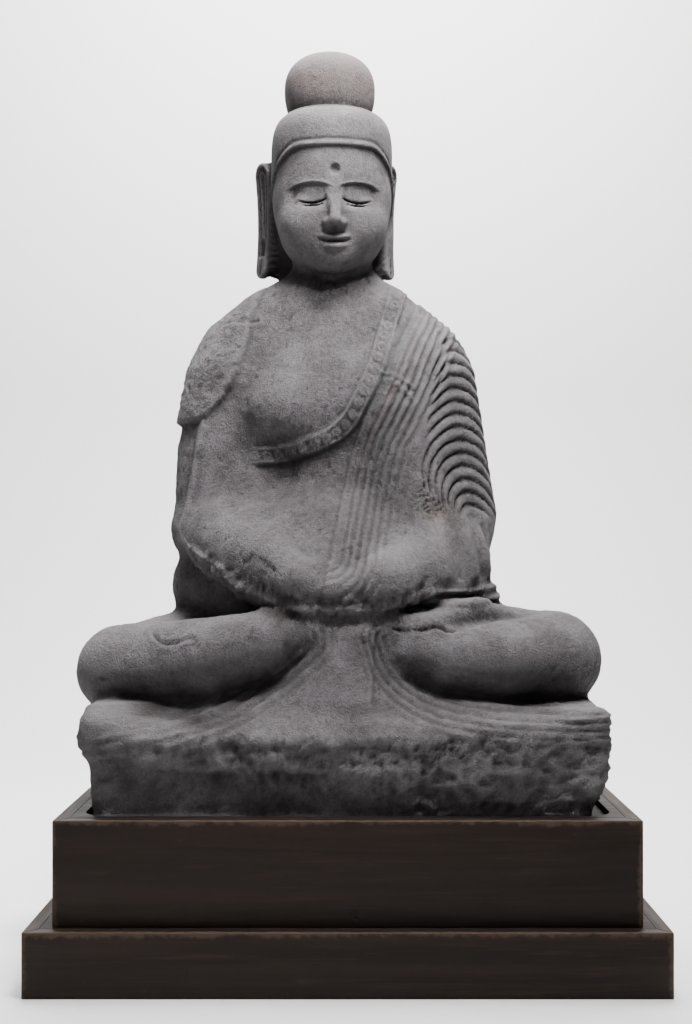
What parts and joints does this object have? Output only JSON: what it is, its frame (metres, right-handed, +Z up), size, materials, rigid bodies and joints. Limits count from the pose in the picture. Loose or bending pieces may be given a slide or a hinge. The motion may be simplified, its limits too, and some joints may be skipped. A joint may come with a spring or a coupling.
{
  "type": "seated buddha statue",
  "caption": "Seated stone Buddha with crossed legs, folded hands and a draped robe, carved in one with its rough block, let into a stepped dark wooden plinth.",
  "frame": {"origin": "on the floor under the middle of the plinth", "axes": "+Z up, the figure faces -Y, +X to the viewer's right when seen from the front"},
  "size_m": [0.988, 0.686, 1.5685],
  "materials": {
    "stone": "carved, weathered, matt",
    "plinth_wood": "dark stain, satin, worn edges"
  },
  "bodies": {
    "root": {"buddha": "stone", "upper_top": "plinth_wood", "upper_front": "plinth_wood", "upper_back": "plinth_wood", "upper_left": "plinth_wood", "upper_right": "plinth_wood", "lower_top": "plinth_wood", "lower_front": "plinth_wood", "lower_back": "plinth_wood", "lower_left": "plinth_wood", "lower_right": "plinth_wood"}
  },
  "joints": []
}
